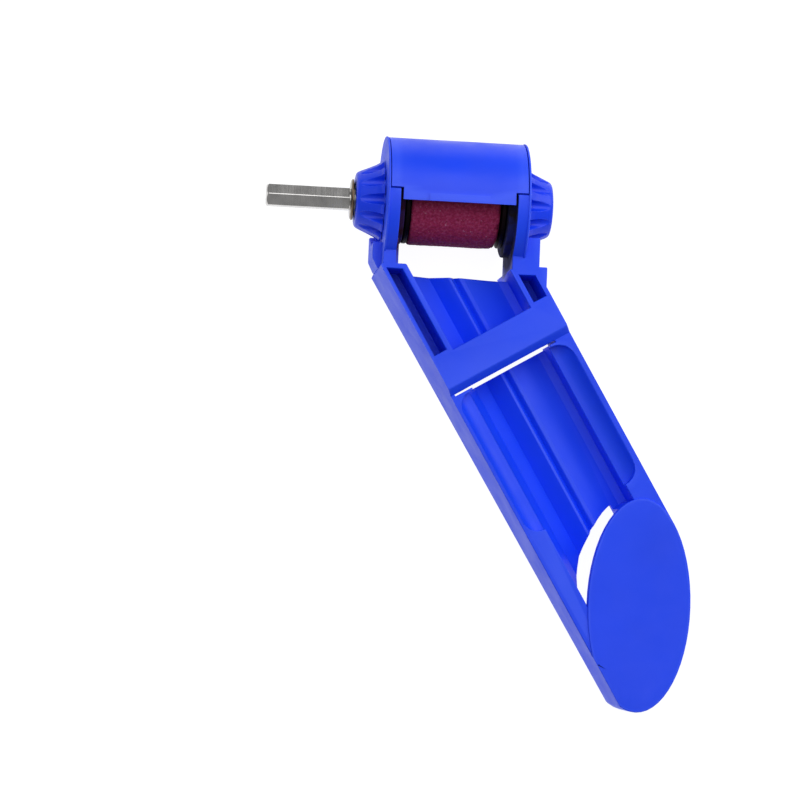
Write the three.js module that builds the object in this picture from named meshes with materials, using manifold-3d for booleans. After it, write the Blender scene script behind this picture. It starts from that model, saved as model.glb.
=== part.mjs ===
// Drill bit sharpener: a corundum wheel on a spindle that a power drill turns, between two cheeks at
// the head of a slanted, V-grooved handle. Drill bits lie in the grooves and meet the wheel at half
// of their point angle. A guard snaps over the wheel, and ribbed caps hold the two ball bearings.
//
// Everything is made in the head frame: X is the wheel's axis (the drive shank is on the -X side), Y
// points from the handle to the head and Z is the deck's normal. The whole is then reclined about X
// until it lies on the cheeks' backs and the handle's underside, and moved to its bottom centre.
import * as THREE from 'three';
import { mergeVertices } from 'three/addons/utils/BufferGeometryUtils.js';
import Module from 'manifold-3d';

const wasm = await Module();
wasm.setup();
const { degToRad } = THREE.MathUtils;

// ---- driving dimensions, in millimetres -------------------------------------------------------
const HANDLE_ANGLE = degToRad(59);     // handle to wheel axis: half of a 118 degree drill point
const RECLINE = degToRad(3.7);         // slope of the deck when the sharpener lies on its back
const AXIS_HEIGHT = 19.4;              // wheel axis above the surface it lies on, and cheek radius
const GAP = 0.3;                       // between neighbouring pieces
const OVERLAP = 0.01;                  // so that two cuts meet without a skin between them
const FINE = 40;                       // facets round the large turned pieces
const COARSE = 20;                     // facets round the small ones

const WHEEL = { r: 12.7, bore: 5.3, half: 13.3 };
const SLEEVE = { r: 5.0, bore: 3.2, half: 13.1 };
const FLANGE = { r: 12.3, bore: 3.2, thick: 1.4, x: 13.6 };

const CHEEK = {
  inner: 17.3, outer: 21.1, rebateR: 17.5, rebateEdge: 20.5, noseR: 19, noseFromR: 9,
};
const BOSS = { leftR: 12.6, rightR: 15, inner: 15.3, bore: 9.9 };
const ARM = { back: -11, top: -12, leftInner: 16.6 };
const WING = { leftX: 23.8, rightX: 25.5, leftFront: 4, rightFront: 10.5, top: -10, clearR: 13.3 };
const LEFT_CHAMFER = 1.6;              // off the tray's left head corner

const GUARD = { r: 19.15, inner: 17.8, half: 20.2, centreHalf: 16.6 };
const TAB = { half: 8.9, proud: 0.6, angle: degToRad(6.4) };   // raised along the lip, for the thumb
const GUARD_SIDE = degToRad(5.5);      // where the side skirts end at the front, above the deck side
const GUARD_LIP = degToRad(-5.5);      // where the lip between the cheeks ends
const GUARD_BACK = degToRad(187);      // just over half way round, so that it snaps on

const DECK_Z = 10.5;                   // top of the head half and of the bridge
const SHELF_Z = 8.2;                   // top of the tail half
const HEAD_EDGE_Y = -19.7;             // the tray's head edge, parallel to the wheel's axis
const FLOOR_EDGE_Y = -21.8;            // the grooved floor starts a little behind it
const HEAD_CORNER = { x: 27.9, y: -18.6 };   // a step on its right
const FLOOR_UNDER_Z = -6.4;
const POCKET_Z = -4.2;                 // floor of the two pockets beside the channel
const CHANNEL = { left: -22.3, right: 4.1 };
const POCKET_LEFT = [-28.1, -24.1];
const POCKET_RIGHT = [5.7, 10.0];
const POCKET_END = 37.5;
const BRIDGE = { head: 38.4, tail: 48.2, foot: 50.3, under: 7.2 };
// The floor is open from below the bridge to this far behind it. A narrow slot runs on beside it.
const SLOT = { from: 39, to: 51.4, narrowTo: 50.9, left: -28, right: 6.2 };
const SCOOP = { from: 51.6, to: 98, sink: 3.6, left: -28.3, right: 9.6 };
const PAD = { x: 59.3, y: -117.4, a: 15.4, b: 31.6, top: 8.8, thick: 3.2, dish: 0.9, rim: 0.8 };
// The open crescent between the grooved floor and the pad: an oval that reaches past the pad.
const CRESCENT = { x: 58.1, y: -117.8, a: 16.8, b: 32.6, right: -0.8 };
const RAIL = { inner: -23.3, from: 100 };
// The pad in handle coordinates. The tray's right side is a tangent of its oval.
const PAD_S = PAD.x * Math.cos(HANDLE_ANGLE) - PAD.y * Math.sin(HANDLE_ANGLE);
const PAD_T = PAD.x * Math.sin(HANDLE_ANGLE) + PAD.y * Math.cos(HANDLE_ANGLE);
const HALF_WIDTH = Math.hypot(PAD.a * Math.sin(HANDLE_ANGLE), PAD.b * Math.cos(HANDLE_ANGLE));
const TRAY = { left: -29.8, right: PAD_T + HALF_WIDTH, wall: 1.6, thick: 2, base: -24 };
const LEFT_DRAFT = 0.6;                // the left side leans in by this much up to the deck

// The cap's cone, as [x, radius]. Its flutes are turned by a few degrees from the deck's normal.
const CAP_CONE = [[22.2, 11.6], [23.6, 10.75], [26, 9.65], [28.4, 8.6], [29.1, 8.2]];
const CAP = { end: 29.5, endR: 7.5, baseR: 12.4, flutes: 12, phase: { left: -5, right: 2.5 } };
const CAP_SPIGOT = { r: 9.6, inner: 15.6, bore: 7.6 };
const BEARING = {
  bore: 3.1, r: 6.5, inner: 22.6, width: 5, ballR: 1, pitchR: 4.78, balls: 7, landing: 0.62,
};
const SHIELD = { sunk: 0.15, thick: 0.3, clear: 0.15 };
const SHAFT = { r: 3, shoulderR: 4.4, shoulder: [-22.3, -15.3], end: 28.6, pinR: 1.3, pin: 30.3 };
const SHANK = { flats: 6.35, from: -31.2, to: -56 };
const COLLAR = { r: 6.2, from: -30.9, to: -30.0 };
const NUT = { flats: 10, from: 16.6, to: 21.2 };
const CLIP = { r: 4.3, bore: 3.12, thick: 0.7, halfGap: 0.35, halfEars: 1.5, ears: [3.6, 5.2] };
const WASHER = { lock: [15.3, 16.3], lockR: 5.3, spacer: [21.5, 22.3], spacerR: 4.1, bore: 3.2 };

// ---- tools ------------------------------------------------------------------------------------
// A closed geometry as a solid that can be joined and cut.
function solid(geometry, matrix) {
  const bare = geometry.clone();
  if (matrix) bare.applyMatrix4(matrix);
  bare.deleteAttribute('normal');
  bare.deleteAttribute('uv');
  const merged = mergeVertices(bare, 1e-4);
  return new wasm.Manifold(new wasm.Mesh({
    numProp: 3,
    vertProperties: new Float32Array(merged.attributes.position.array),
    triVerts: new Uint32Array(merged.index.array),
  }));
}

function join(pieces) {
  return pieces.reduce((sum, piece) => sum.add(piece));
}

function cut(body, tools) {
  return tools.reduce((rest, tool) => rest.subtract(tool), body);
}

function geometryOf(body) {
  const mesh = body.getMesh();
  const geometry = new THREE.BufferGeometry();
  geometry.setAttribute('position', new THREE.BufferAttribute(new Float32Array(mesh.vertProperties), 3));
  geometry.setIndex(new THREE.BufferAttribute(new Uint32Array(mesh.triVerts), 1));
  geometry.computeVertexNormals();
  return geometry;
}

function block([x0, x1], [y0, y1], [z0, z1]) {
  const geometry = new THREE.BoxGeometry(x1 - x0, y1 - y0, z1 - z0);
  return geometry.translate((x0 + x1) / 2, (y0 + y1) / 2, (z0 + z1) / 2);
}

function shapeOf(points) {
  return new THREE.Shape(points.map(([x, y]) => new THREE.Vector2(x, y)));
}

// An outline in the XY plane, raised from z0 to z1.
function plate(points, z0, z1) {
  const geometry = new THREE.ExtrudeGeometry(shapeOf(points), { depth: z1 - z0, bevelEnabled: false });
  return geometry.translate(0, 0, z0);
}

// A profile of [second axis, third axis] points, drawn out along the first axis from x0 to x1.
function bar(points, x0, x1) {
  const geometry = plate(points, x0, x1);
  const turn = new THREE.Matrix4().makeBasis(
    new THREE.Vector3(0, 1, 0), new THREE.Vector3(0, 0, 1), new THREE.Vector3(1, 0, 0));
  return geometry.applyMatrix4(turn);
}

// A profile of [first axis, third axis] points, drawn out along the second axis from y0 to y1.
function crossBar(points, y0, y1) {
  const geometry = plate(points, -y1, -y0);
  const turn = new THREE.Matrix4().makeBasis(
    new THREE.Vector3(1, 0, 0), new THREE.Vector3(0, 0, 1), new THREE.Vector3(0, -1, 0));
  return geometry.applyMatrix4(turn);
}

// A profile of [x, radius] points turned about the X axis. It is listed with x falling along the
// bore or the axis and rising along the outside, and it closes on itself or on the axis.
function turned(profile, facets = COARSE) {
  const points = profile.map(([x, r]) => new THREE.Vector2(r, x));
  if (profile[0][1] > 0) points.push(points[0].clone());
  return new THREE.LatheGeometry(points, facets).rotateZ(-Math.PI / 2);
}

function ring(r, bore, x0, x1, facets = COARSE) {
  return turned([[x0, bore], [x0, r], [x1, r], [x1, bore]], facets);
}

function disc(r, x0, x1, facets = COARSE) {
  return turned([[x0, 0], [x0, r], [x1, r], [x1, 0]], facets);
}

function hexagon(flats, x0, x1) {
  const corner = flats / 2 / Math.cos(Math.PI / 6);
  return disc(corner, x0, x1, 6);
}

// A sector of a ring about the X axis. Angles are measured from +Z towards +Y.
function sector(r, bore, x0, x1, from, to) {
  const steps = Math.max(3, Math.ceil((to - from) / degToRad(7.5)));
  const at = (radius, i) => {
    const angle = from + (to - from) * i / steps;
    return [radius * Math.sin(angle), radius * Math.cos(angle)];
  };
  const outer = Array.from({ length: steps + 1 }, (_, i) => at(r, i));
  const inner = Array.from({ length: steps + 1 }, (_, i) => at(bore, steps - i));
  return bar([...outer, ...inner], x0, x1);
}

function ellipse(x, y, a, b, count = 56) {
  return Array.from({ length: count }, (_, i) => {
    const angle = 2 * Math.PI * i / count;
    return [x + a * Math.cos(angle), y + b * Math.sin(angle)];
  });
}

// Handle coordinates: s runs from the head to the tail, t across to the +X side.
const handleFrame = new THREE.Matrix4().makeRotationZ(-HANDLE_ANGLE);
const along = (s, t) => [
  s * Math.cos(HANDLE_ANGLE) + t * Math.sin(HANDLE_ANGLE),
  -s * Math.sin(HANDLE_ANGLE) + t * Math.cos(HANDLE_ANGLE),
];
// The point of the handle's line t that lies at height y.
const atY = (t, y) => [(t - y * Math.cos(HANDLE_ANGLE)) / Math.sin(HANDLE_ANGLE), y];

// ---- materials --------------------------------------------------------------------------------
const material = (color, roughness, metalness) =>
  new THREE.MeshStandardMaterial({ color, roughness, metalness });
const bluePlastic = () => material(0x2e4fe8, 0.35, 0);
const steel = () => material(0xb8bcc2, 0.3, 1);
const darkSteel = () => material(0x5b5d60, 0.4, 1);
const corundum = () => material(0x7d2148, 0.95, 0);

function named(name, geometry, finish) {
  const mesh = new THREE.Mesh(geometry, finish);
  mesh.name = name;
  return mesh;
}

// ---- handle -----------------------------------------------------------------------------------
// The tray's outline: its head edge parallel to the wheel, straight sides, and a tail that ends
// inside the oval pad.
function trayOutline(inset) {
  const left = TRAY.left + inset;
  const right = TRAY.right - inset;
  const headY = HEAD_EDGE_Y - inset;
  const cornerX = HEAD_CORNER.x - inset;
  const cornerY = (right - cornerX * Math.sin(HANDLE_ANGLE)) / Math.cos(HANDLE_ANGLE);
  const tangent = (PAD.b ** 2 - PAD.a ** 2) * Math.sin(2 * HANDLE_ANGLE) / (2 * HALF_WIDTH);
  return [
    [atY(left, headY)[0] + LEFT_CHAMFER, headY],
    atY(left, headY - LEFT_CHAMFER),
    along(PAD_S + tangent, left),
    along(PAD_S - tangent, right),
    [cornerX, cornerY],
    [cornerX, HEAD_CORNER.y - inset],
    [WING.rightX - inset, HEAD_CORNER.y - inset],
    [WING.rightX - inset, headY],
  ];
}

// The grooved channel's section, as [t, z]: a left groove, a small middle groove between two
// ridges, and a right groove that ends at the fence.
const CHANNEL_FLOOR = [
  [CHANNEL.left, -1.2],
  [-16.2, -4.6],
  [-11.6, -1.0],
  [-10.9, -1.0],
  [-9.9, -2.5],
  [-8.8, -1.0],
  [-7.7, -1.0],
  [-1.1, -3.7],
  [1.6, -4.3],
  [CHANNEL.right, -3.7],
];

// In the tail half the left side leans out instead of standing upright.
const LEANING_SIDE = [[-23.3, SHELF_Z + 1], [-23.3, 4.6], [-20.4, -1]];

function channel(top, from, to, leftSide = [[CHANNEL.left, top], CHANNEL_FLOOR[0]]) {
  const section = [...CHANNEL_FLOOR.slice(1), [CHANNEL.right, top], ...leftSide];
  return solid(bar(section, from, to), handleFrame);
}

function tray() {
  const upper = plate(trayOutline(0), TRAY.base, DECK_Z);
  const pad = plate(ellipse(PAD.x, PAD.y, PAD.a, PAD.b), TRAY.base, PAD.top);
  // The step down from the bridge to the shelf, with its sloping face.
  const above = crossBar([
    [BRIDGE.tail, DECK_Z], [BRIDGE.foot, SHELF_Z], [200, SHELF_Z], [200, DECK_Z + 3],
    [BRIDGE.tail, DECK_Z + 3],
  ], -60, 60);
  const leftOfSide = bar([
    [TRAY.left - 10, TRAY.base - 1], [TRAY.left, TRAY.base - 1], [TRAY.left, -AXIS_HEIGHT],
    [TRAY.left + LEFT_DRAFT, DECK_Z], [TRAY.left + LEFT_DRAFT, DECK_Z + 1], [TRAY.left - 10, DECK_Z + 1],
  ], -60, 200);
  return cut(solid(upper).subtract(solid(above, handleFrame)).add(solid(pad)),
    [solid(leftOfSide, handleFrame)]);
}

// What the tray is emptied of: the channel, the head pockets, the space under the bridge, the
// finger scoops, the dish and hollow of the pad, and the open underside.
function trayHollows() {
  const inHandle = (geometry) => solid(geometry, handleFrame);
  const all = [-40, 40];
  const acrossChannel = [CHANNEL.left, CHANNEL.right];
  const behindY = (y) => solid(block([-60, 90], [-200, y], all));

  const headChannel = channel(DECK_Z + 1, -20, BRIDGE.head);
  const frontGap = inHandle(block([-20, 40], acrossChannel, all)).subtract(behindY(FLOOR_EDGE_Y));
  const behindHeadWall = behindY(HEAD_EDGE_Y - TRAY.wall);
  const pockets = [POCKET_LEFT, POCKET_RIGHT].map(
    (t) => inHandle(block([-30, POCKET_END], t, [POCKET_Z, 40])).intersect(behindHeadWall));

  const belowBridge = channel(BRIDGE.under, BRIDGE.head - OVERLAP, SLOT.from + OVERLAP);
  const bridgeVoid = inHandle(block([SLOT.from, SLOT.to], acrossChannel, [-40, BRIDGE.under]));
  const behindBridge = join([
    inHandle(block([BRIDGE.foot, SLOT.to], acrossChannel, all)),
    inHandle(block([BRIDGE.foot, SLOT.narrowTo], [SLOT.left, SLOT.right], all)),
  ]);

  const padOval = (grow) => solid(plate(ellipse(PAD.x, PAD.y, PAD.a + grow, PAD.b + grow), ...all));
  const besidePad = solid(plate(ellipse(CRESCENT.x, CRESCENT.y, CRESCENT.a, CRESCENT.b), ...all));
  const tailChannel = channel(SHELF_Z + 1, SLOT.to - OVERLAP, 125, LEANING_SIDE).subtract(padOval(0));
  const crescent = inHandle(block([95, 130], [RAIL.inner, CRESCENT.right], all))
    .intersect(besidePad).subtract(padOval(0));

  const belowPad = [-40, PAD.top - PAD.thick];
  const underside = solid(plate(trayOutline(TRAY.wall + 0.4), -40, FLOOR_UNDER_Z));
  const leftCore = inHandle(block([56, 118], [TRAY.left + TRAY.thick, RAIL.inner - TRAY.thick], [-40, 1.5]));
  const rightCore = inHandle(
    block([56, 104], [CHANNEL.right + TRAY.thick, TRAY.right - TRAY.thick], [-40, 1.5]));
  const padCore = solid(plate(
    ellipse(PAD.x, PAD.y, PAD.a - TRAY.thick, PAD.b - TRAY.thick), ...belowPad));
  const underPad = inHandle(block([95, 140], [RAIL.inner, CRESCENT.right], belowPad))
    .intersect(padOval(OVERLAP));
  const railKept = inHandle(block([RAIL.from, 140], [TRAY.left, RAIL.inner], all)).subtract(padOval(-1.5));
  const cores = join([underside, leftCore, rightCore, padCore]).subtract(railKept);
  return [
    headChannel, frontGap, ...pockets, belowBridge, bridgeVoid, behindBridge, tailChannel, crescent,
    cores, underPad, fingerScoop(SCOOP.left, LEANING_SIDE[0][0]), fingerScoop(SCOOP.right, CHANNEL.right),
    padDish(),
  ];
}

// A concave scoop with round ends along each side of the tail's channel, for the fingers.
function fingerScoop(edge, inner) {
  const side = Math.sign(inner - edge);
  const width = Math.abs(inner - edge);
  const radius = (width ** 2 + SCOOP.sink ** 2) / (2 * SCOOP.sink);
  const steps = 6;
  const parts = Array.from({ length: steps + 1 }, (_, i) => i / steps);
  const bottom = SHELF_Z - SCOOP.sink;
  const arc = parts.map((part) => [
    edge + side * width * part,
    bottom + radius - Math.sqrt(radius ** 2 - (width * (1 - part)) ** 2),
  ]);
  const clear = inner + side * 3;
  const section = [...arc, [clear, bottom], [clear, 20], [edge, 20]];
  // One round end, as distances from the scoop's end and from its inner edge.
  const quarter = parts.map((part) => [
    width * (1 - Math.cos(Math.PI / 2 * part)), side * width * Math.sin(Math.PI / 2 * part)]);
  const outline = [
    ...quarter.map(([in_, out]) => [SCOOP.from + in_, inner - out]),
    ...quarter.reverse().map(([in_, out]) => [SCOOP.to - in_, inner - out]),
    [SCOOP.to, clear],
    [SCOOP.from, clear],
  ];
  return solid(bar(section, SCOOP.from, SCOOP.to), handleFrame)
    .intersect(solid(plate(outline, -20, 30), handleFrame));
}

// The pad's shallow dish: the cap of a large ball, squeezed to the oval.
function padDish() {
  const halfWidth = PAD.a - PAD.rim;
  const radius = (halfWidth ** 2 + PAD.dish ** 2) / (2 * PAD.dish);
  const rings = 9;
  const cap = turned([[0, 0], ...Array.from({ length: rings }, (_, i) => {
    const r = halfWidth * (i + 1) / rings;
    return [radius - Math.sqrt(radius ** 2 - r ** 2), r];
  }), [12, halfWidth], [12, 0]], FINE);
  cap.rotateY(-Math.PI / 2);
  cap.scale(1, (PAD.b - PAD.rim) / halfWidth, 1);
  return solid(cap.translate(PAD.x, PAD.y, PAD.top - PAD.dish));
}

// A cheek with its arm and wing, on the side given by the sign. The guard runs on its rebate.
function cheek(side) {
  const across = (x0, x1) => [side * x0, side * x1].sort((a, b) => a - b);
  const turnedPart = (r, x0, x1, facets = FINE) => solid(disc(r, ...across(x0, x1), facets));
  const [noseFrom, noseTo] = across(CHEEK.inner, CHEEK.outer);
  const nose = solid(sector(
    CHEEK.noseR, CHEEK.noseFromR, noseFrom, noseTo, degToRad(-70), GUARD_SIDE - degToRad(1.2)));
  const front = side < 0 ? WING.leftFront : WING.rightFront;
  const wingX = side < 0 ? WING.leftX : WING.rightX;
  const overlap = HEAD_EDGE_Y - 1;
  const armInner = side < 0 ? ARM.leftInner : CHEEK.inner;
  const arm = solid(block(across(armInner, CHEEK.outer), [overlap, ARM.top], [ARM.back, DECK_Z]));
  const corner = side < 0 ? LEFT_CHAMFER : 0;
  const wingOutline = [
    [CHEEK.outer - 1, WING.top],
    [CHEEK.outer - 1, overlap],
    [wingX - corner, overlap],
    [wingX, overlap + 2 * corner],
    [wingX, WING.top],
  ].map(([x, y]) => [side * x, y]);
  const wing = cut(solid(plate(wingOutline, ARM.back, front)),
    [turnedPart(WING.clearR, CHEEK.outer, wingX + 1)]);
  return join([
    turnedPart(CHEEK.rebateR, CHEEK.inner, CHEEK.outer),
    turnedPart(AXIS_HEIGHT, CHEEK.rebateEdge, CHEEK.outer),
    turnedPart(side < 0 ? BOSS.leftR : BOSS.rightR, BOSS.inner, CHEEK.inner + 0.5),
    nose, arm, wing,
  ]);
}

function handleBody() {
  const body = cut(tray(), trayHollows());
  const wheelRoom = solid(block([-CHEEK.inner, CHEEK.inner], [HEAD_EDGE_Y, 40], [-40, 40]));
  const bosses = [-1, 1].map((side) => cheek(side));
  const bores = solid(disc(BOSS.bore, -40, 40, FINE));
  // The surface that it lies on, in this frame.
  const ground = solid(block([-200, 200], [-300, 100], [-AXIS_HEIGHT - 60, -AXIS_HEIGHT]),
    new THREE.Matrix4().makeRotationX(-RECLINE));
  return cut(join([body.subtract(wheelRoom), ...bosses]), [bores, ground]);
}

// ---- guard ------------------------------------------------------------------------------------
function wheelGuard() {
  const shell = solid(sector(GUARD.r, GUARD.inner, -GUARD.half, GUARD.half, GUARD_SIDE, GUARD_BACK));
  const lip = solid(sector(GUARD.r, GUARD.inner, -GUARD.centreHalf, GUARD.centreHalf, GUARD_LIP, GUARD_SIDE));
  const tab = solid(sector(GUARD.r + TAB.proud, GUARD.inner + TAB.proud, -TAB.half, TAB.half, GUARD_LIP,
    GUARD_LIP + TAB.angle));
  return geometryOf(join([shell, lip, tab]));
}

// ---- bearing caps -----------------------------------------------------------------------------
// A ribbed cone outside the cheek, a spigot in the cheek's bore, and a seat for the bearing.
function bearingCap(holeR, phase) {
  const outside = turned([
    [CAP_SPIGOT.inner, 0],
    [CAP_SPIGOT.inner, CAP_SPIGOT.r],
    [CHEEK.outer + GAP, CAP_SPIGOT.r],
    [CHEEK.outer + GAP, CAP.baseR],
    ...CAP_CONE,
    [CAP.end, CAP.endR],
    [CAP.end, 0],
  ], FINE);
  const seatEnd = BEARING.inner + BEARING.width;
  const inside = turned([
    [CAP_SPIGOT.inner - 1, 0],
    [CAP_SPIGOT.inner - 1, CAP_SPIGOT.bore],
    [BEARING.inner - 0.4, CAP_SPIGOT.bore],
    [BEARING.inner - 0.4, BEARING.r + 0.25],
    [seatEnd + 0.3, BEARING.r + 0.25],
    [seatEnd + 0.3, BEARING.r - 0.9],
    [seatEnd + 1.3, BEARING.r - 0.9],
    [seatEnd + 1.3, 0],
  ], FINE);
  const flute = new THREE.SphereGeometry(1, 8, 6).scale(6.3, 1.75, 1.6);
  const flutes = Array.from({ length: CAP.flutes }, (_, i) => solid(flute, new THREE.Matrix4()
    .makeRotationX(2 * Math.PI * i / CAP.flutes + degToRad(phase))
    .multiply(new THREE.Matrix4().makeTranslation(CHEEK.outer + 0.4, 0, CAP.baseR - 0.2))
    .multiply(new THREE.Matrix4().makeRotationY(degToRad(24)))));
  const clearOfSpigot = solid(disc(30, CHEEK.outer + GAP, 60, FINE));
  const cutters = flutes.map((tool) => tool.intersect(clearOfSpigot));
  return cut(solid(outside), [solid(inside), solid(disc(holeR, 0, 40)), ...cutters]);
}

// ---- bearings ---------------------------------------------------------------------------------
// Each piece is made about the bearing's middle. The race grooves follow the balls.
function raceGroove(side) {
  const r = BEARING.ballR + 0.12;
  const half = Math.acos(0.55);
  return Array.from({ length: 4 }, (_, i) => {
    const angle = -half + 2 * half * i / 3;
    return [r * Math.sin(angle), BEARING.pitchR + side * r * Math.cos(angle)];
  });
}

function bearingPieces() {
  const half = BEARING.width / 2;
  const innerR = BEARING.pitchR - BEARING.landing;
  const outerR = BEARING.pitchR + BEARING.landing;
  const inner = turned([[-half, BEARING.bore], [-half, innerR], ...raceGroove(-1), [half, innerR],
    [half, BEARING.bore]]);
  const outer = turned([[-half, BEARING.r], [half, BEARING.r], [half, outerR],
    ...raceGroove(1).reverse(), [-half, outerR]]);
  const shield = (side) => {
    const middle = side * (half - SHIELD.sunk - SHIELD.thick / 2);
    return ring(outerR - SHIELD.clear, innerR + SHIELD.clear, middle - SHIELD.thick / 2,
      middle + SHIELD.thick / 2);
  };
  const ball = new THREE.SphereGeometry(BEARING.ballR, 8, 6);
  const balls = Array.from({ length: BEARING.balls }, (_, i) => {
    const angle = 2 * Math.PI * i / BEARING.balls;
    return solid(ball, new THREE.Matrix4().makeTranslation(
      0, BEARING.pitchR * Math.sin(angle), BEARING.pitchR * Math.cos(angle)));
  });
  const cage = geometryOf(join([
    solid(ring(BEARING.pitchR + 0.3, BEARING.pitchR - 0.3, -0.7, 0.7)), ...balls]));
  return { inner, outer, cage, shield };
}

// ---- spindle ----------------------------------------------------------------------------------
function spindleShaft() {
  const [shoulderFrom, shoulderTo] = SHAFT.shoulder;
  const shaft = turned([
    [SHANK.from - 0.5, 0],
    [SHANK.from - 0.5, SHAFT.r],
    [shoulderFrom, SHAFT.r],
    [shoulderFrom, SHAFT.shoulderR],
    [shoulderTo, SHAFT.shoulderR],
    [shoulderTo, SHAFT.r],
    [SHAFT.end, SHAFT.r],
    [SHAFT.end, SHAFT.pinR],
    [SHAFT.pin, SHAFT.pinR],
    [SHAFT.pin, 0],
  ]);
  const shank = solid(hexagon(SHANK.flats, SHANK.to, SHANK.from));
  const cornerR = SHANK.flats / 2 / Math.cos(Math.PI / 6) + 0.2;
  const chamfer = solid(turned([
    [SHANK.to, 0], [SHANK.to, cornerR - 1], [SHANK.to + 0.8, cornerR], [SHANK.from, cornerR], [SHANK.from, 0],
  ]));
  return geometryOf(solid(shaft).add(shank.intersect(chamfer)));
}

function grindingWheel() {
  const edge = 0.5;
  return turned([
    [-WHEEL.half, WHEEL.bore],
    [-WHEEL.half, WHEEL.r - edge],
    [-WHEEL.half + edge, WHEEL.r],
    [WHEEL.half - edge, WHEEL.r],
    [WHEEL.half, WHEEL.r - edge],
    [WHEEL.half, WHEEL.bore],
  ], FINE);
}

function clampNut() {
  const hex = solid(hexagon(NUT.flats, NUT.from, NUT.to));
  const cornerR = NUT.flats / 2 / Math.cos(Math.PI / 6);
  const rounding = solid(turned([
    [NUT.from, 0], [NUT.from, cornerR - 0.7], [NUT.from + 0.5, cornerR + 0.03],
    [NUT.to - 0.5, cornerR + 0.03], [NUT.to, cornerR - 0.7], [NUT.to, 0],
  ]));
  return geometryOf(cut(hex.intersect(rounding), [solid(disc(SHAFT.r + 0.15, 0, 40))]));
}

// A retaining ring: a flat ring with a gap and two ears.
function circlip(x0, x1) {
  const { r, bore, halfGap, halfEars, ears: [earFrom, earTo] } = CLIP;
  const band = solid(ring(r, bore, x0, x1));
  const ears = solid(block([x0, x1], [-halfEars, halfEars], [earFrom, earTo]));
  const gap = solid(block([x0 - 1, x1 + 1], [-halfGap, halfGap], [0, 8]));
  return geometryOf(cut(band.add(ears), [gap]));
}

// ---- assembly ---------------------------------------------------------------------------------
const sharpener = new THREE.Group();
const headFrame = new THREE.Group();
headFrame.rotation.x = RECLINE;
sharpener.add(headFrame);

headFrame.add(named('handle_body', geometryOf(handleBody()), bluePlastic()));
headFrame.add(named('wheel_guard', wheelGuard(), bluePlastic()));

// The caps and bearings are alike on both sides; the left ones are turned half round about Z.
for (const side of ['left', 'right']) {
  const end = new THREE.Group();
  end.rotation.z = side === 'left' ? Math.PI : 0;
  headFrame.add(end);
  const holeR = side === 'left' ? SHAFT.r + 0.6 : SHAFT.pinR + 0.5;
  end.add(named(`bearing_cap_${side}`, geometryOf(bearingCap(holeR, CAP.phase[side])), bluePlastic()));

  const bearing = new THREE.Group();
  bearing.position.x = BEARING.inner + BEARING.width / 2;
  end.add(bearing);
  const pieces = bearingPieces();
  bearing.add(named(`bearing_outer_ring_${side}`, pieces.outer, steel()));
  bearing.add(named(`bearing_inner_ring_${side}`, pieces.inner, steel()));
  bearing.add(named(`bearing_ball_cage_${side}`, pieces.cage, steel()));
  bearing.add(named(`bearing_outer_shield_${side}`, pieces.shield(1), darkSteel()));
  bearing.add(named(`bearing_inner_shield_${side}`, pieces.shield(-1), darkSteel()));
  const clipAt = BEARING.inner + BEARING.width + 0.15;
  end.add(named(`retaining_ring_${side}`, circlip(clipAt, clipAt + CLIP.thick), darkSteel()));
  end.add(named(`clamp_flange_${side}`, ring(FLANGE.r, FLANGE.bore, FLANGE.x, FLANGE.x + FLANGE.thick, FINE),
    steel()));
}

const spindle = new THREE.Group();
headFrame.add(spindle);
spindle.add(named('spindle_shaft', spindleShaft(), steel()));
spindle.add(named('grinding_wheel', grindingWheel(), corundum()));
spindle.add(named('wheel_sleeve', ring(SLEEVE.r, SLEEVE.bore, -SLEEVE.half, SLEEVE.half), darkSteel()));
spindle.add(named('lock_washer', ring(WASHER.lockR, WASHER.bore, ...WASHER.lock), darkSteel()));
spindle.add(named('clamp_nut', clampNut(), steel()));
spindle.add(named('spacer_washer', ring(WASHER.spacerR, WASHER.bore, ...WASHER.spacer), steel()));
spindle.add(named('drive_collar', ring(COLLAR.r, SHAFT.r + 0.1, COLLAR.from, COLLAR.to), steel()));

// The origin is at the bottom centre of the whole.
sharpener.updateMatrixWorld(true);
const box = new THREE.Box3().setFromObject(sharpener, true);
sharpener.position.set(-(box.min.x + box.max.x) / 2, -(box.min.y + box.max.y) / 2, -box.min.z);
sharpener.updateMatrixWorld(true);

export default sharpener;
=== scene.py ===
"""Drill bit sharpener: the looks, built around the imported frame.

The CAD gives the places and sizes. This script rounds the moulded edges, gives the wheel its grain
and the caps their flutes, and sets every piece's material, the light and the camera.
"""

import math

import bmesh
import bpy
from mathutils import Matrix, Vector, noise
from mathutils.geometry import intersect_point_line


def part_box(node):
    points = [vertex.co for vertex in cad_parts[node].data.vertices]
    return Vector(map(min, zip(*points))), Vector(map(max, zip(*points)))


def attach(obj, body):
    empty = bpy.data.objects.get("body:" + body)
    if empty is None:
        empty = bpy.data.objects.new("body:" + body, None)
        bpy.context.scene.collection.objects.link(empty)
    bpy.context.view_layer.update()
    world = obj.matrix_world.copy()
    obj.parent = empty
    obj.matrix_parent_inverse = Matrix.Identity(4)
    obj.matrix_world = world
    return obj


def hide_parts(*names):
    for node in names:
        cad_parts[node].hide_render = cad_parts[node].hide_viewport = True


MM = 0.001
RECLINE = math.radians(3.7)        # slope of the deck in the row frame
HANDLE_ANGLE = math.radians(59)    # handle to wheel axis
SHARP = math.radians(18)           # an outward fold steeper than this is rounded
WIDEST = 1.5                       # the widest rounding, in mm
FOLD = math.radians(46)            # a fold of the guard steeper than this stays sharp in the shading
LATHE_FOLD = math.radians(38)      # the same, for turned pieces
SAME_POINT = 0.05                  # CAD points nearer than this, in mm, are one
SAME_FACE = math.radians(0.6)      # CAD faces that meet at less than this are one
ROOM_SHARE = 0.45                  # the part of a face's width that one rounding can take
FACET_BLEND = math.radians(17)     # facets of a curve that meet at less than this blend
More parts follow.
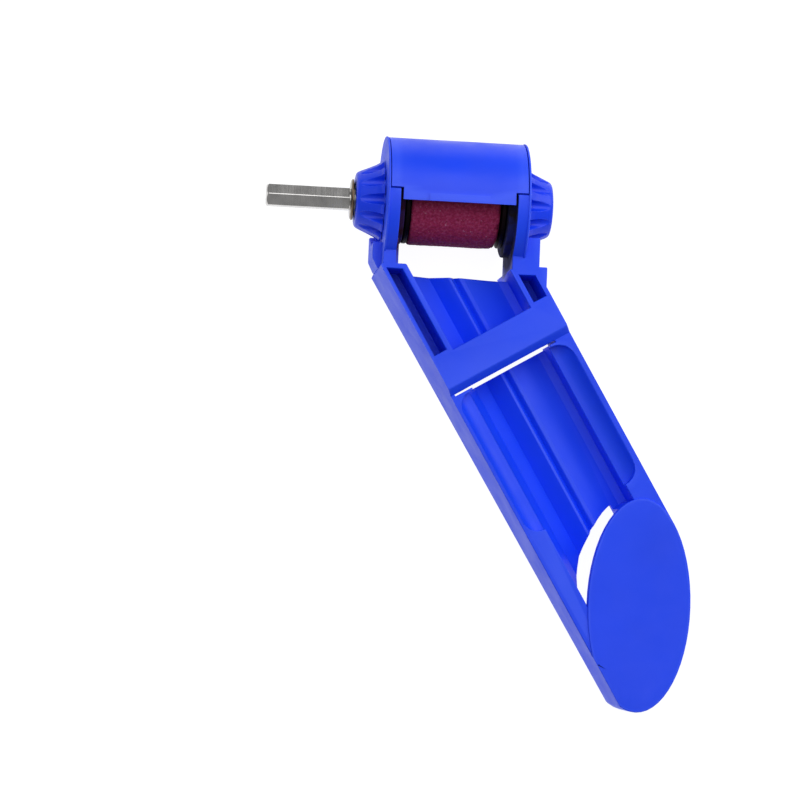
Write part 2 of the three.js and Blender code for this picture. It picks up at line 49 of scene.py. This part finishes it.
ROUNDING_BLEND = math.radians(60)  # a rounding blends with faces up to this far from it
STRAIGHT_ON = math.radians(140)    # an edge that meets another at more than this carries it on

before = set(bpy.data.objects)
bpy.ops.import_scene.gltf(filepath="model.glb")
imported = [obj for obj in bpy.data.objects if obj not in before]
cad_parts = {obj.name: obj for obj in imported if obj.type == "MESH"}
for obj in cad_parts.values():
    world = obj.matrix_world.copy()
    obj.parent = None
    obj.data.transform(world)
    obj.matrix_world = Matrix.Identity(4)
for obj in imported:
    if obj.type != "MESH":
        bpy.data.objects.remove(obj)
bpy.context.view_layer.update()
low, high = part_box("grinding_wheel")
wheel_centre = (low + high) / 2
# From the head frame, in mm with its origin at the wheel's centre, to the row frame in metres.
HEAD = Matrix.Translation(wheel_centre) @ Matrix.Rotation(RECLINE, 4, "X") @ Matrix.Scale(MM, 4)
TO_HEAD = HEAD.inverted()


# ---- materials --------------------------------------------------------------------------------
def new_material(name, color, roughness, metallic=0.0):
    material = bpy.data.materials.new(name)
    material.use_nodes = True
    shader = material.node_tree.nodes["Principled BSDF"]
    shader.inputs["Base Color"].default_value = (*color, 1)
    shader.inputs["Roughness"].default_value = roughness
    shader.inputs["Metallic"].default_value = metallic
    return material, shader


def add(tree, kind, **settings):
    node = tree.nodes.new(kind)
    for key, value in settings.items():
        if key in node.inputs:
            node.inputs[key].default_value = value
        else:
            setattr(node, key, value)
    return node


def coordinates(tree):
    return add(tree, "ShaderNodeTexCoord").outputs["Object"]


def noise_of(tree, scale, detail=3.0, roughness=0.5, vector=None):
    node = add(tree, "ShaderNodeTexNoise", Scale=scale, Detail=detail, Roughness=roughness)
    tree.links.new(vector or coordinates(tree), node.inputs["Vector"])
    return node.outputs["Fac"]


def ramp(tree, fac, stops):
    node = add(tree, "ShaderNodeValToRGB")
    elements = node.color_ramp.elements
    while len(elements) < len(stops):
        elements.new(0.5)
    for element, (position, color) in zip(elements, stops):
        element.position = position
        element.color = (*color, 1)
    tree.links.new(fac, node.inputs["Fac"])
    return node.outputs["Color"]


def spread(tree, fac, low_value, high_value, start=0.35, end=0.65):
    node = add(tree, "ShaderNodeMapRange")
    settings = {"From Min": start, "From Max": end, "To Min": low_value, "To Max": high_value}
    for socket, value in settings.items():
        node.inputs[socket].default_value = value
    tree.links.new(fac, node.inputs["Value"])
    return node.outputs["Result"]


def bump(tree, shader, height, distance, strength=1.0, below=None):
    node = add(tree, "ShaderNodeBump", Strength=strength, Distance=distance)
    tree.links.new(height, node.inputs["Height"])
    if below:
        tree.links.new(below.outputs["Normal"], node.inputs["Normal"])
    tree.links.new(node.outputs["Normal"], shader.inputs["Normal"])
    return node


def shade(color, factor):
    return tuple(min(1.0, c * factor) for c in color)


def math_node(tree, operation, a, b):
    node = add(tree, "ShaderNodeMath", operation=operation)
    for socket, value in zip(node.inputs, (a, b)):
        if isinstance(value, (int, float)):
            socket.default_value = value
        else:
            tree.links.new(value, socket)
    return node.outputs["Value"]


def mixed(tree, factor, a, b):
    """Colour a where factor is 0 and colour b where it is 1. Each is a socket or a plain colour."""
    node = add(tree, "ShaderNodeMix", data_type="RGBA")
    tree.links.new(factor, node.inputs["Factor"])
    for name, value in (("A", a), ("B", b)):
        if isinstance(value, tuple):
            node.inputs[name].default_value = (*value, 1)
        else:
            tree.links.new(value, node.inputs[name])
    return node.outputs["Result"]


# Dust and painted shade: faces beside the wheel are painted near black, as the shade in the gap round it;
# on the shank's side the colour has a red tint of grinding dust.
DUST_AND_SHADE_HALF_WIDTH = 17.36                # in mm from the wheel's middle, as are the next two
DUST_AND_SHADE_FRONT = -20.2
DUST_AND_SHADE_SIDES = (-14, -10)                # where the colour changes along the axis
DUST_AND_SHADE_ON_SHANK_SIDE, PAINTED_SHADE_ON_FAR_SIDE = (0.03, 0.0015, 0.006), (0.0035, 0.001, 0.008)


def dust_and_painted_shade(tree, fades_from, fades_to):
    """Dust and painted shade beside the wheel: on what faces the wheel, up to a distance in mm from its
    axis.

    The near-black colour is painted shade for the gap round the wheel; the red tint on the shank's side is
    grinding dust. Gives how much there is, from 0 to 1, and its colour, which is redder on the shank's
    side.
    """
    offset = add(tree, "ShaderNodeVectorMath", operation="SUBTRACT")
    tree.links.new(coordinates(tree), offset.inputs[0])
    offset.inputs[1].default_value = wheel_centre
    apart = add(tree, "ShaderNodeSeparateXYZ")
    tree.links.new(offset.outputs["Vector"], apart.inputs["Vector"])
    x, y, z = (apart.outputs[name] for name in "XYZ")
    y_squared, z_squared = (math_node(tree, "MULTIPLY", part, part) for part in (y, z))
    distance = math_node(tree, "SQRT", math_node(tree, "ADD", y_squared, z_squared), 0)
    near = spread(tree, distance, 1.0, 0.0, fades_from * MM, fades_to * MM)
    beside = math_node(tree, "LESS_THAN", math_node(tree, "ABSOLUTE", x, 0), DUST_AND_SHADE_HALF_WIDTH * MM)
    behind_deck = math_node(tree, "GREATER_THAN", y, DUST_AND_SHADE_FRONT * MM)
    mask = math_node(tree, "MULTIPLY", math_node(tree, "MULTIPLY", near, beside), behind_deck)
    patchy = spread(tree, noise_of(tree, 240, 4, 0.6), 0.88, 1.0)
    side = spread(tree, x, 0.0, 1.0, *(place * MM for place in DUST_AND_SHADE_SIDES))
    color = mixed(tree, side, DUST_AND_SHADE_ON_SHANK_SIDE, PAINTED_SHADE_ON_FAR_SIDE)
    return math_node(tree, "MULTIPLY", mask, patchy), color


INSIDE_OF_GUARD = (17.85, 18.0)        # where the dust and painted shade fade, in mm from the wheel's axis
# On the handle the painted shade reaches further out, over the arms' inner faces beside the wheel.
HANDLE_BESIDE_WHEEL = (18, 24)
# Painted highlight: the paler blue laid on sharp edges.
EDGE_HIGHLIGHT_BLUE = (0.07, 0.15, 1.0)


def moulded_plastic(name, color, roughness, dust_and_shade_reach=INSIDE_OF_GUARD):
    """Satin moulded plastic: soft flow marks in the colour, a fine skin, paler edges as a painted
    highlight, and dust with painted shade near the wheel.
    """
    material, shader = new_material(name, color, roughness)
    tree = material.node_tree
    flow = noise_of(tree, 38, 2)
    base = ramp(tree, flow, [(0.3, shade(color, 0.95)), (0.7, shade(color, 1.05))])
    edge = add(tree, "ShaderNodeNewGeometry").outputs["Pointiness"]
    # Painted highlight: sharp edges, found by pointiness, are mixed towards a paler blue.
    sheen = spread(tree, edge, 0.0, 0.25, 0.515, 0.56)
    base = mixed(tree, sheen, base, EDGE_HIGHLIGHT_BLUE)
    # Dust and painted shade: faces beside the wheel are mixed towards near black, with a red dust tint on
    # the shank's side.
    dust_and_shade, dust_and_shade_color = dust_and_painted_shade(tree, *dust_and_shade_reach)
    base = mixed(tree, dust_and_shade, base, dust_and_shade_color)
    tree.links.new(base, shader.inputs["Base Color"])
    wiped = spread(tree, noise_of(tree, 90, 4, 0.6), roughness - 0.05, roughness + 0.08)
    dulled = math_node(tree, "MAXIMUM", wiped, math_node(tree, "MULTIPLY", dust_and_shade, 0.95))
    tree.links.new(dulled, shader.inputs["Roughness"])
    skin = bump(tree, shader, noise_of(tree, 2600, 2), 0.00002, 0.35)
    bump(tree, shader, noise_of(tree, 150, 2), 0.00025, 0.25, skin)
    shader.inputs["Specular IOR Level"].default_value = 0.32
    shader.inputs["Subsurface Weight"].default_value = 0.06
    shader.inputs["Subsurface Radius"].default_value = (0.15, 0.3, 1.0)
    shader.inputs["Subsurface Scale"].default_value = 0.0012
    return material


def turned_steel(name, color, roughness, streak=9000, sheen=0.1):
    """Machined steel: rings round the wheel's axis, and a little unevenness."""
    material, shader = new_material(name, color, roughness, 1.0)
    tree = material.node_tree
    stretch = add(tree, "ShaderNodeMapping")
    stretch.inputs["Scale"].default_value = (streak, 60, 60)
    tree.links.new(coordinates(tree), stretch.inputs["Vector"])
    rings = noise_of(tree, 1.0, 2, 0.6, stretch.outputs["Vector"])
    tree.links.new(spread(tree, rings, roughness - sheen, roughness + sheen), shader.inputs["Roughness"])
    tint = noise_of(tree, 260, 3)
    base = ramp(tree, tint, [(0.3, shade(color, 0.82)), (0.7, shade(color, 1.1))])
    tree.links.new(base, shader.inputs["Base Color"])
    bump(tree, shader, rings, 0.00001, 0.5)
    return material


def corundum():
    """Dark red grit: glassy crystals, pale specks and small dark pores in a matt bond."""
    color = (0.275, 0.014, 0.071)
    material, shader = new_material("corundum_grit", color, 0.8)
    shader.inputs["Specular IOR Level"].default_value = 0.2
    tree = material.node_tree
    grain = noise_of(tree, 1400, 4, 0.7)
    body = ramp(tree, grain, [(0.32, shade(color, 0.55)), (0.5, color), (0.66, (0.32, 0.05, 0.13))])
    speck = noise_of(tree, 950, 3, 0.75)
    specks = spread(tree, speck, 0.0, 0.85, 0.665, 0.71)
    tree.links.new(mixed(tree, specks, body, (0.5, 0.25, 0.36)), shader.inputs["Base Color"])
    tree.links.new(spread(tree, speck, 0.85, 0.4, 0.6, 0.72), shader.inputs["Roughness"])
    pits = bump(tree, shader, grain, 0.0002, 0.8)
    bump(tree, shader, noise_of(tree, 420, 3, 0.6), 0.00035, 0.7, pits)
    return material


BLUE = (0.0035, 0.052, 0.84)
handle_blue = moulded_plastic("moulded_blue_handle", BLUE, 0.5, HANDLE_BESIDE_WHEEL)
guard_blue = moulded_plastic("moulded_blue_guard", shade(BLUE, 0.98), 0.38)
cap_blue = moulded_plastic("moulded_blue_caps", (0.003, 0.042, 0.78), 0.36)
grit = corundum()
shaft_steel = turned_steel("bright_shaft_steel", (0.62, 0.61, 0.60), 0.24)
# Painted reflection: the collar's dark brown colour stands in for warm surroundings reflected in bright
# steel.
collar_steel = turned_steel("collar_steel_painted_brown_reflection", (0.14, 0.10, 0.07), 0.16, 4000, 0.04)
ring_steel = turned_steel("bearing_ring_steel", (0.66, 0.67, 0.69), 0.16)
shield_steel = turned_steel("pressed_shield_steel", (0.40, 0.41, 0.43), 0.34)
dark_steel = turned_steel("blackened_spring_steel", (0.07, 0.07, 0.075), 0.42)
zinc_steel = turned_steel("zinc_nut_steel", (0.58, 0.60, 0.63), 0.3)
flange_steel = turned_steel("black_flange_steel", (0.012, 0.008, 0.010), 0.55)


def dress(obj, material):
    obj.data.materials.clear()
    obj.data.materials.append(material)


# ---- mesh helpers -----------------------------------------------------------------------------
def new_object(name, mesh, material, body, node):
    obj = bpy.data.objects.new(name, mesh)
    bpy.context.scene.collection.objects.link(obj)
    dress(obj, material)
    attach(obj, body)
    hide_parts(node)
    return obj


def apply_modifiers(obj):
    """Puts the modifiers' result in place of the mesh."""
    graph = bpy.context.evaluated_depsgraph_get()
    mesh = bpy.data.meshes.new_from_object(obj.evaluated_get(graph))
    obj.modifiers.clear()
    obj.data = mesh


def keep_faces_flat(obj):
    """Lets large faces set the shading, so that only roundings and facets blend. Folds stay sharp."""
    obj.data.shade_smooth()
    obj.data.set_sharp_from_angle(angle=FOLD)
    weighted = obj.modifiers.new("flat_faces", "WEIGHTED_NORMAL")
    weighted.mode = "FACE_AREA"
    weighted.keep_sharp = True
    apply_modifiers(obj)


def shade_by_face(mesh, rounding):
    """Blends facets of a curve with each other, and each rounding with the face beside it.

    rounding says of each face whether it belongs to a rounding. Any other face keeps its own
    direction where it meets a fold.
    """
    around = [[] for _ in mesh.vertices]
    for face in mesh.polygons:
        for v in face.vertices:
            around[v].append(face.index)
    normals = [Vector(face.normal) for face in mesh.polygons]
    areas = [face.area for face in mesh.polygons]
    corners = []
    for face in mesh.polygons:
        limit = math.cos(ROUNDING_BLEND if rounding[face.index] else FACET_BLEND)
        own = normals[face.index]
        for v in face.vertices:
            total = Vector()
            for other in around[v]:
                if normals[other].dot(own) >= limit:
                    total += areas[other] * normals[other]
            corners.append(total.normalized() if total.length > 0 else own)
    mesh.shade_smooth()
    mesh.normals_split_custom_set(corners)


def round_weighted_edges(obj, segments):
    """Rounds the edges by their bevel weights, and shades the faces."""
    bevel = obj.modifiers.new("rounding", "BEVEL")
    bevel.limit_method = "WEIGHT"
    bevel.width = WIDEST * MM
    bevel.segments = segments
    bevel.use_clamp_overlap = False
    obj.data.materials.append(None)
    bevel.material = 1
    apply_modifiers(obj)
    rounding = [face.material_index == 1 for face in obj.data.polygons]
    for face in obj.data.polygons:
        face.material_index = 0
    obj.data.materials.pop(index=1)
    shade_by_face(obj.data, rounding)


def room_beside(edge):
    """How wide an edge's rounding can be before it runs into the other edges of its two faces."""
    room = WIDEST * MM
    for face in edge.link_faces:
        for other in face.edges:
            if other is edge:
                continue
            shared = [v for v in edge.verts if v in other.verts]
            if shared:
                corner = shared[0]
                own = edge.other_vert(corner).co - corner.co
                side = other.other_vert(corner).co - corner.co
                angle = own.angle(side, 0)
                if angle < STRAIGHT_ON:
                    room = min(room, ROOM_SHARE * side.length * math.sin(angle))
                continue
            start, end = (v.co for v in edge.verts)
            for part in (0.03, 0.25, 0.5, 0.75, 0.97):
                spot = start.lerp(end, part)
                one, two = (v.co for v in other.verts)
                _, along = intersect_point_line(spot, one, two)
                near = one.lerp(two, min(1, max(0, along)))
                room = min(room, ROOM_SHARE * (near - spot).length)
    return room


def rounded_copy(node, name, material, body, width, soften=None):
    """A CAD node's solid with its outward edges rounded, to a width in mm.

    soften(a, b) gives the edge from a to b its own width, or None.
    """
    bm = bmesh.new()
    bm.from_mesh(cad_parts[node].data)
    bmesh.ops.remove_doubles(bm, verts=bm.verts, dist=SAME_POINT * MM)
    bmesh.ops.dissolve_limit(bm, angle_limit=SAME_FACE, verts=bm.verts, edges=bm.edges)
    weight = bm.edges.layers.float.new("bevel_weight_edge")
    for edge in bm.edges:
        if len(edge.link_faces) != 2 or not edge.is_convex or edge.calc_face_angle(0) < SHARP:
            continue
        own = soften(*(TO_HEAD @ v.co for v in edge.verts)) if soften else None
        wanted = (width if own is None else own) * MM
        edge[weight] = min(wanted, room_beside(edge)) / (WIDEST * MM)
    mesh = bpy.data.meshes.new(name)
    bm.to_mesh(mesh)
    bm.free()
    obj = new_object(name, mesh, material, body, node)
    round_weighted_edges(obj, 2)


def lathe(name, profile, facets, reshape=None):
    """A closed profile of (x, radius) in head-frame mm, turned about the wheel's axis.

    reshape(x, radius, angle) moves a point; angles run from +Z towards +Y.
    """
    bm = bmesh.new()
    rings = []
    for x, radius in profile:
        ring = []
        for i in range(facets):
            angle = 2 * math.pi * i / facets
            px, pr = reshape(x, radius, angle) if reshape else (x, radius)
            ring.append(bm.verts.new(HEAD @ Vector((px, pr * math.sin(angle), pr * math.cos(angle)))))
        rings.append(ring)
    for ring, following in zip(rings, rings[1:] + rings[:1]):
        for i in range(facets):
            j = (i + 1) % facets
            bm.faces.new((ring[i], ring[j], following[j], following[i]))
    bmesh.ops.recalc_face_normals(bm, faces=bm.faces)
    mesh = bpy.data.meshes.new(name)
    bm.to_mesh(mesh)
    bm.free()
    mesh.shade_smooth()
    mesh.set_sharp_from_angle(angle=LATHE_FOLD)
    return mesh


def between(points, step):
    """The open profile with points added so that none are further apart than step."""
    filled = [points[0]]
    for start, end in zip(points, points[1:]):
        parts = max(1, math.ceil(math.dist(start, end) / step))
        for k in range(1, parts + 1):
            filled.append(tuple(a + (b - a) * k / parts for a, b in zip(start, end)))
    return filled


# ---- handle -----------------------------------------------------------------------------------
CHEEK_EDGE, CHEEK_REBATE, CHEEK_R = 21.1, 20.5, 19.4
SHELF_Z = 8.2


def handle_coordinates(point):
    """How far a point is along the handle, towards the tail, and across it, towards +X."""
    return (
        point.x * math.cos(HANDLE_ANGLE) - point.y * math.sin(HANDLE_ANGLE),
        point.x * math.sin(HANDLE_ANGLE) + point.y * math.cos(HANDLE_ANGLE),
    )


def handle_rounding(a, b):
    """The rounding's width in mm where it isn't the usual one. a and b are in head-frame mm."""
    middle = (a + b) / 2
    s, t = handle_coordinates(middle)
    if abs(math.hypot(middle.y, middle.z) - CHEEK_R) < 0.3:
        if abs(abs(middle.x) - CHEEK_EDGE) < 0.05:
            return 0.45
        if abs(abs(middle.x) - CHEEK_REBATE) < 0.05:
            return 0.08
    if -13 < t < -6 and middle.z < -0.5:
        return 0.18                  # the two low ridges
    if 52 < s < 140 and t < -28.8 and middle.z > SHELF_Z - 0.6:
        return 1.2                   # the tail's soft left shoulder
    return None


rounded_copy("handle_body", "handle_shell", handle_blue, "handle", 0.32, handle_rounding)


# ---- guard ------------------------------------------------------------------------------------
GUARD_R, GUARD_THICK, GUARD_HALF, GUARD_CENTRE_HALF = 19.15, 1.35, 20.2, 16.6
TAB_HALF, TAB_PROUD = 8.9, 0.6
GUARD_RIM_ROUNDING, GUARD_ROUNDING = 0.5, 0.22
GUARD_SIDE, GUARD_LIP, GUARD_BACK, TAB_END = (math.radians(a) for a in (5.5, -5.5, 187.0, 0.9))


def guard_mesh():
    """Laid out flat, in metres along the arc, with its notched corners and its tab."""
    across = [-GUARD_HALF, -GUARD_CENTRE_HALF, -TAB_HALF, TAB_HALF, GUARD_CENTRE_HALF, GUARD_HALF]
    steps = 90
    angles = [GUARD_LIP, TAB_END, GUARD_SIDE]
    angles += [GUARD_SIDE + (GUARD_BACK - GUARD_SIDE) * k / steps for k in range(1, steps + 1)]
    levels = (-GUARD_THICK, 0.0, TAB_PROUD)

    def filled(column, row, level):
        if not (0 <= column < len(across) - 1 and 0 <= row < len(angles) - 1 and 0 <= level < 2):
            return False
        middle = abs(across[column] + across[column + 1]) / 2
        outermost = column in (0, len(across) - 2)
        if row < 2 and outermost:
            return False
        return level == 0 or (row == 0 and middle < TAB_HALF and column == 2)

    bm = bmesh.new()
    corners = {}

    def corner(column, row, level):
        key = (column, row, level)
        if key not in corners:
            corners[key] = bm.verts.new((across[column], GUARD_R * angles[row], levels[level]))
        return corners[key]

    sides = {
        (-1, 0, 0): [(0, 0, 0), (0, 0, 1), (0, 1, 1), (0, 1, 0)],
        (1, 0, 0): [(1, 0, 0), (1, 1, 0), (1, 1, 1), (1, 0, 1)],
        (0, -1, 0): [(0, 0, 0), (1, 0, 0), (1, 0, 1), (0, 0, 1)],
        (0, 1, 0): [(0, 1, 0), (0, 1, 1), (1, 1, 1), (1, 1, 0)],
        (0, 0, -1): [(0, 0, 0), (0, 1, 0), (1, 1, 0), (1, 0, 0)],
        (0, 0, 1): [(0, 0, 1), (1, 0, 1), (1, 1, 1), (0, 1, 1)],
    }
    for column in range(len(across) - 1):
        for row in range(len(angles) - 1):
            for level in range(2):
                if not filled(column, row, level):
                    continue
                for (dc, dr, dl), quad in sides.items():
                    if not filled(column + dc, row + dr, level + dl):
                        bm.faces.new([corner(column + c, row + r, level + h) for c, r, h in quad])
    weight = bm.edges.layers.float.new("bevel_weight_edge")
    for edge in bm.edges:
        if edge.calc_face_angle(0) > SHARP:
            a, b = (v.co for v in edge.verts)
            on_rim = all(abs(abs(end.x) - GUARD_HALF) < 0.01 for end in (a, b))
            edge[weight] = (GUARD_RIM_ROUNDING if on_rim else GUARD_ROUNDING) / WIDEST
    bmesh.ops.scale(bm, vec=(MM, MM, MM), verts=bm.verts)
    mesh = bpy.data.meshes.new("guard_shell")
    bm.to_mesh(mesh)
    bm.free()
    mesh.shade_smooth()
    return mesh


def bend_guard(obj):
    """Bends the flat guard round the wheel's axis."""
    for vertex in obj.data.vertices:
        x, along, out = (c / MM for c in vertex.co)
        angle = along / GUARD_R
        radius = GUARD_R + out
        vertex.co = HEAD @ Vector((x, radius * math.sin(angle), radius * math.cos(angle)))


guard = new_object("guard_shell", guard_mesh(), guard_blue, "guard", "wheel_guard")
round_weighted_edges(guard, 3)
bend_guard(guard)
keep_faces_flat(guard)


# ---- bearing caps -----------------------------------------------------------------------------
CAP_BASE_X, CAP_END_X = 21.4, 29.5
FLUTE_COUNT = 12
FLUTE_R = 1.45                     # each flute is a round groove
FLUTE_BOTTOM = (9.15, 8.6)         # radius of its bottom at the base and at its far end
FLUTE_LENGTH = 6.6
CAP_CONE = [
    (CAP_BASE_X, 11.9), (21.55, 12.25), (21.9, 12.05), (22.4, 11.5), (23.6, 10.75), (26.0, 9.65),
    (28.4, 8.6), (28.85, 8.34), (29.15, 8.08), (29.36, 7.75), (29.47, 7.3),
]
CAP_SPIGOT_R, CAP_SPIGOT_X, CAP_BORE_R = 9.6, 15.6, 7.6


def cap_mesh(side, hole, phase):
    """A cone with round-bottomed flutes that run out towards the small end."""
    sign = -1 if side == "left" else 1
    profile = [(CAP_SPIGOT_X, CAP_BORE_R), (CAP_SPIGOT_X, CAP_SPIGOT_R), (CAP_BASE_X, CAP_SPIGOT_R)]
    profile += between([(CAP_BASE_X, CAP_SPIGOT_R), *CAP_CONE], 0.2)[1:]
    profile += [(CAP_END_X, 6.9), (CAP_END_X, 5.4), (29.2, 5.1), (29.2, hole + 0.3), (28.95, hole),
                (27.9, hole), (27.9, 5.6), (27.9, 6.75), (22.2, 6.75), (22.2, CAP_BORE_R)]
    pitch = 2 * math.pi / FLUTE_COUNT
    start, end = FLUTE_BOTTOM

    def flute(x, radius, angle):
        if x < CAP_BASE_X or radius < end:
            return sign * x, radius
        bottom = start + (end - start) * (x - CAP_BASE_X) / FLUTE_LENGTH
        centre = bottom + FLUTE_R
        off = (angle - phase + pitch / 2) % pitch - pitch / 2
        aside = centre * math.sin(off)
        if abs(aside) >= FLUTE_R:
            return sign * x, radius
        cut = centre * math.cos(off) - math.sqrt(FLUTE_R ** 2 - aside ** 2)
        return sign * x, min(radius, cut)

    return lathe(f"cap_{side}_shell", profile, 420, flute)


for side, hole, phase in (("left", 3.6, -5.0), ("right", 1.8, -2.5)):
    mesh = cap_mesh(side, hole, math.radians(phase))
    new_object(f"cap_{side}_shell", mesh, cap_blue, f"cap_{side}", f"bearing_cap_{side}")


# ---- grinding wheel ---------------------------------------------------------------------------
WHEEL_R, WHEEL_HALF, WHEEL_BORE = 12.7, 13.3, 5.3


def wheel_mesh():
    """A pressed grit cylinder: a grainy face, a broken left edge and a worn, chipped right edge."""
    rim = 1.1
    ends = [(-WHEEL_HALF, WHEEL_BORE), (-WHEEL_HALF, WHEEL_R - 0.3), (-WHEEL_HALF + 0.3, WHEEL_R),
            (WHEEL_HALF - 0.3, WHEEL_R), (WHEEL_HALF, WHEEL_R - 0.3), (WHEEL_HALF, WHEEL_BORE)]
    profile = between(ends, 0.2)

    def worn(x, radius, angle):
        if radius < WHEEL_BORE + 0.1:
            return x, radius
        spot = Vector((x, radius * math.sin(angle), radius * math.cos(angle)))
        grain = noise.fractal(spot * 1.3, 0.8, 2.1, 3) * 0.11
        coarse = noise.noise(spot * 0.35 + Vector((7.0, 0, 0))) * 0.08
        fall = grain + coarse - 0.12
        low_side = 0.5 - 0.5 * math.cos(min(math.pi, max(0.0, -(angle - 2 * math.pi) - 0.1)) * 1.3)
        low_side = low_side if angle > math.pi else 0.0
        rough = noise.noise(spot.yz.to_3d() * 0.45) + 0.5 * noise.noise(spot.yz.to_3d() * 1.3)
        chip = 0.45 + 1.1 * max(0.0, rough) + 1.3 * low_side
        near_end = max(0.0, (x - (WHEEL_HALF - rim - chip)) / (rim + chip))
        if x > 0 and radius > WHEEL_R - 2:
            fall -= chip * near_end ** 2.2
            x -= chip * 0.55 * near_end ** 2
        left_end = max(0.0, (-x - (WHEEL_HALF - 0.8)) / 0.8)
        if x < 0 and radius > WHEEL_R - 2:
            fall -= (0.12 + 0.3 * max(0.0, noise.noise(spot.yz.to_3d() * 0.8))) * left_end ** 2
        if radius < WHEEL_R - 0.35:
            return x - math.copysign(0.05 + abs(grain), x), radius
        return x, radius + min(0.0, fall)

    return lathe("grit_wheel", profile, 320, worn)


new_object("grit_wheel", wheel_mesh(), grit, "spindle", "grinding_wheel")


# ---- spindle and bearings ---------------------------------------------------------------------
rounded_copy("spindle_shaft", "spindle_steel", shaft_steel, "spindle", 0.22)
rounded_copy("clamp_nut", "clamp_nut_steel", zinc_steel, "spindle", 0.2)
COLLAR = [(-30.0, 3.1), (-30.9, 3.1), (-30.9, 4.7), (-30.82, 5.5), (-30.62, 5.95), (-30.35, 6.17),
          (-30.12, 6.17), (-30.0, 6.05)]
collar = lathe("collar_steel", COLLAR, 96)
new_object("collar_steel", collar, collar_steel, "spindle", "drive_collar")

for node, material in {
    "wheel_sleeve": dark_steel,
    "lock_washer": dark_steel,
    "spacer_washer": shaft_steel,
}.items():
    dress(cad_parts[node], material)
for side in ("left", "right"):
    rounded_copy(f"clamp_flange_{side}", f"flange_{side}", flange_steel, "spindle", 0.3)
    for node, material in {
        "bearing_outer_ring": ring_steel,
        "bearing_inner_ring": ring_steel,
        "bearing_ball_cage": ring_steel,
        "bearing_outer_shield": shield_steel,
        "bearing_inner_shield": shield_steel,
        "retaining_ring": dark_steel,
    }.items():
        dress(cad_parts[f"{node}_{side}"], material)


# ---- floor, light and camera ------------------------------------------------------------------
LIGHT_AIM = Vector((0, 0, 0.01))


def make_floor():
    """A white sheet that glows a little, as the background of a cut-out picture."""
    mesh = bpy.data.meshes.new("studio_floor")
    half = 4.0
    corners = [(-half, -half, 0), (half, -half, 0), (half, half, 0), (-half, half, 0)]
    mesh.from_pydata(corners, [], [(0, 1, 2, 3)])
    floor = bpy.data.objects.new("studio_floor", mesh)
    bpy.context.scene.collection.objects.link(floor)
    material, shader = new_material("pale_floor", (0.16, 0.16, 0.16), 0.9)
    shader.inputs["Specular IOR Level"].default_value = 0.1
    shader.inputs["Emission Color"].default_value = (1, 1, 1, 1)
    shader.inputs["Emission Strength"].default_value = 0.96
    dress(floor, material)


def area_light(name, place, size, power):
    """A white rectangle that shines at the object."""
    data = bpy.data.lights.new(name, "AREA")
    data.shape = "RECTANGLE"
    data.size, data.size_y = size
    data.energy = power
    light = bpy.data.objects.new(name, data)
    light.location = place
    light.rotation_euler = (LIGHT_AIM - Vector(place)).to_track_quat("-Z", "Y").to_euler()
    light.visible_camera = False
    bpy.context.scene.collection.objects.link(light)


def make_world(strength):
    world = bpy.data.worlds.new("studio")
    world.use_nodes = True
    world.node_tree.nodes["Background"].inputs["Color"].default_value = (1, 1, 1, 1)
    world.node_tree.nodes["Background"].inputs["Strength"].default_value = strength
    bpy.context.scene.world = world


def make_camera():
    """Looks down on the deck from the tail's side and a little from the shank's side."""
    pitch, yaw, roll = 0.0726, 0.0974, 0.0407
    distance = 798.0                 # from the plane of the wheel's centre, in mm
    right_of_view, above_view = 15.74, 58.49   # the wheel's centre from the view's centre, in mm
    back = Vector((-math.sin(yaw), -math.sin(pitch), 0))
    back.z = math.sqrt(1 - back.length_squared)
    right = Vector((0, 1, 0)).cross(back).normalized()
    up = back.cross(right)
    right, up = (
        right * math.cos(roll) + up * math.sin(roll),
        up * math.cos(roll) - right * math.sin(roll),
    )
    place = back * distance - right * right_of_view - up * above_view
    turn = HEAD.to_3x3().normalized()
    data = bpy.data.cameras.new("photo_view")
    data.sensor_width = 36
    data.lens = 119.7
    data.clip_start, data.clip_end = 0.01, 20
    camera = bpy.data.objects.new("photo_view", data)
    axes = Matrix((turn @ right, turn @ up, turn @ back)).transposed()
    camera.matrix_world = Matrix.Translation(HEAD @ place) @ axes.to_4x4()
    bpy.context.scene.collection.objects.link(camera)
    bpy.context.scene.camera = camera


make_floor()
make_world(0.3)
area_light("top_softbox", (-0.05, 0.32, 0.95), (1.2, 1.1), 7.3)
area_light("key_softbox", (0.66, 0.42, 0.54), (0.6, 0.6), 3.2)
make_camera()
bpy.context.scene.view_settings.view_transform = "Standard"
